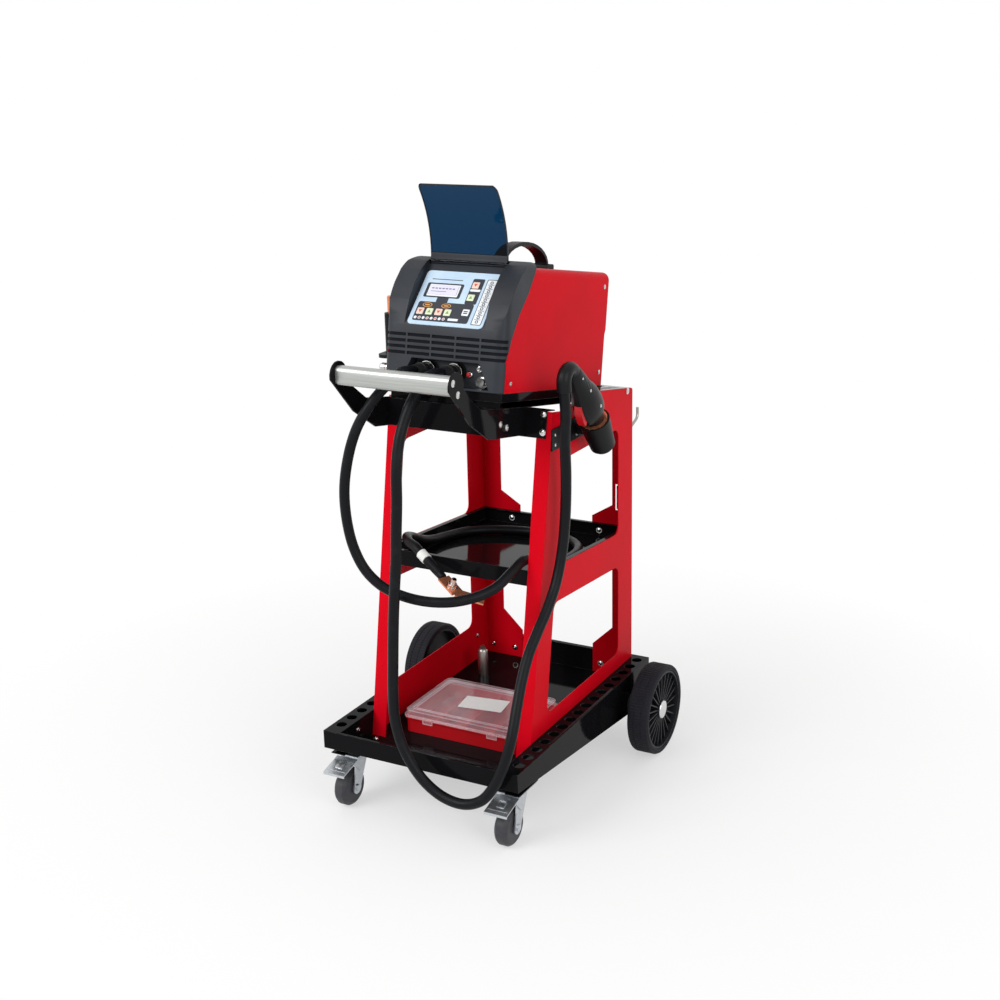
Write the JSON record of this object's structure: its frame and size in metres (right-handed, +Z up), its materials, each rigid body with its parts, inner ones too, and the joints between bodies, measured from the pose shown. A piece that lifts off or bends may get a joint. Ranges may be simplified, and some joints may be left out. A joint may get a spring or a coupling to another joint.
{
  "type": "dent pulling spot welder",
  "caption": "Spot welder for pulling dents, on a four-wheeled trolley with a shelf, tool ledges, push bar, holstered gun and earth clamp.",
  "frame": {"origin": "centre of the bounding box seen from above, cords apart, on the floor", "axes": "+Z up, the push bar and the welder's controls face -Y, the gun's holster is on the +X side"},
  "size_m": [0.574, 0.6964, 1.1763],
  "materials": {
    "red_paint": "gloss",
    "black_paint": "semi-gloss",
    "dark_plastic": "fine texture",
    "black_plastic": "satin",
    "red_plastic": "gloss",
    "white_plastic": "gloss",
    "clear_plastic": "clear",
    "smoked_plastic": "transparent",
    "panel_print": "satin printed",
    "zinc": "zinc plated",
    "steel": "machined",
    "chrome": "polished",
    "aluminium": "brushed and clear",
    "copper": "worn copper",
    "tyre_rubber": "matt",
    "cable_rubber": "matt",
    "board": "lacquered",
    "iron": "laminated",
    "pane": "clear"
  },
  "bodies": {
    "trolley": {"base_tray": "black_paint", "side_panel_left": "red_paint", "side_panel_right": "red_paint", "middle_shelf": "black_paint", "cable_hook_left": "zinc", "cable_hook_right": "zinc", "handle_bar": "aluminium", "cross_member": "black_paint", "welder_tray": "black_paint", "tool_rack": "black_paint", "handle_bracket_left": "black_paint", "handle_bracket_right": "black_paint", "wheel_axle": "steel", "storage_box_base": "red_plastic", "puller_weight": "steel", "welder_base_pan": "black_paint", "welder_front_bezel": "dark_plastic", "welder_cover": "red_paint", "welder_rear_panel": "black_paint", "control_plate": "panel_print", "display_window": "pane", "lid_hinge_pin": "steel", "carry_handle": "black_plastic", "earth_socket": "black_plastic", "gun_socket": "black_plastic", "control_connector": "chrome", "transformer_core": "iron", "transformer_winding": "copper", "circuit_board": "board", "mains_gland": "black_plastic", "earth_plug": "black_plastic", "gun_plug": "black_plastic", "rod_holder": "black_plastic", "copper_rod": "copper", "gun_holster": "black_plastic", "gun_body": "black_plastic", "gun_collar": "copper", "earth_cable": "cable_rubber", "gun_cable": "cable_rubber", "earth_grip": "white_plastic", "earth_clamp": "copper", "caster_plate_left": "zinc", "caster_plate_right": "zinc"},
    "rear_wheel_left": {"rear_tyre_left": "tyre_rubber", "rear_rim_left": "dark_plastic", "hub_cap_left": "chrome"},
    "caster_swivel_left": {"caster_fork_left": "zinc"},
    "caster_roller_left": {"caster_wheel_left": "tyre_rubber"},
    "brake_pedal_left": {"caster_brake_left": "zinc"},
    "rear_wheel_right": {"rear_tyre_right": "tyre_rubber", "rear_rim_right": "dark_plastic", "hub_cap_right": "chrome"},
    "caster_swivel_right": {"caster_fork_right": "zinc"},
    "caster_roller_right": {"caster_wheel_right": "tyre_rubber"},
    "brake_pedal_right": {"caster_brake_right": "zinc"},
    "lid": {"smoked_lid": "smoked_plastic"},
    "box_cover": {"storage_box_lid": "clear_plastic"},
    "trigger": {"gun_trigger": "red_plastic"},
    "rocker": {"main_switch": "black_plastic"},
    "fan": {"cooling_fan": "black_plastic"}
  },
  "joints": [
    {"name": "rear_wheel_left_spin", "type": "hinge", "parent": "trolley", "child": "rear_wheel_left", "pos_m": [-0.2645, 0.1955, 0.093], "axis": [1, 0, 0], "continuous": true},
    {"name": "caster_swivel_left_turn", "type": "hinge", "parent": "trolley", "child": "caster_swivel_left", "pos_m": [-0.176, -0.2516, 0.092], "axis": [0, 0, 1], "continuous": true},
    {"name": "caster_wheel_left_spin", "type": "hinge", "parent": "caster_swivel_left", "child": "caster_roller_left", "pos_m": [-0.176, -0.2786, 0.0375], "axis": [1, 0, 0], "continuous": true},
    {"name": "brake_pedal_left_press", "type": "hinge", "parent": "caster_swivel_left", "child": "brake_pedal_left", "pos_m": [-0.176, -0.2656, 0.074], "axis": [1, 0, 0], "range_deg": [0, 14]},
    {"name": "rear_wheel_right_spin", "type": "hinge", "parent": "trolley", "child": "rear_wheel_right", "pos_m": [0.2645, 0.1955, 0.093], "axis": [1, 0, 0], "continuous": true},
    {"name": "caster_swivel_right_turn", "type": "hinge", "parent": "trolley", "child": "caster_swivel_right", "pos_m": [0.176, -0.2516, 0.092], "axis": [0, 0, 1], "continuous": true},
    {"name": "caster_wheel_right_spin", "type": "hinge", "parent": "caster_swivel_right", "child": "caster_roller_right", "pos_m": [0.176, -0.2786, 0.0375], "axis": [1, 0, 0], "continuous": true},
    {"name": "brake_pedal_right_press", "type": "hinge", "parent": "caster_swivel_right", "child": "brake_pedal_right", "pos_m": [0.176, -0.2656, 0.074], "axis": [1, 0, 0], "range_deg": [0, 14]},
    {"name": "lid_hinge", "type": "hinge", "parent": "trolley", "child": "lid", "pos_m": [0, -0.05917, 1.03279], "axis": [1, 0, 0], "range_deg": [0, 118]},
    {"name": "storage_box_hinge", "type": "hinge", "parent": "trolley", "child": "box_cover", "pos_m": [0, 0.0324, 0.1409], "axis": [-1, 0, 0], "range_deg": [0, 110]},
    {"name": "trigger_press", "type": "hinge", "parent": "trolley", "child": "trigger", "pos_m": [0.213, -0.04535, 0.78161], "axis": [1, 0, 0], "range_deg": [0, 8], "stiffness_Nm_per_rad": 0.3, "springref_deg": -5.73},
    {"name": "main_switch_rock", "type": "hinge", "parent": "trolley", "child": "rocker", "pos_m": [0.082, 0.2529, 0.8084], "axis": [1, 0, 0], "range_deg": [0, 20]},
    {"name": "fan_spin", "type": "hinge", "parent": "trolley", "child": "fan", "pos_m": [-0.03, 0.23676, 0.86598], "axis": [0, 0.9854, -0.1702], "continuous": true}
  ]
}
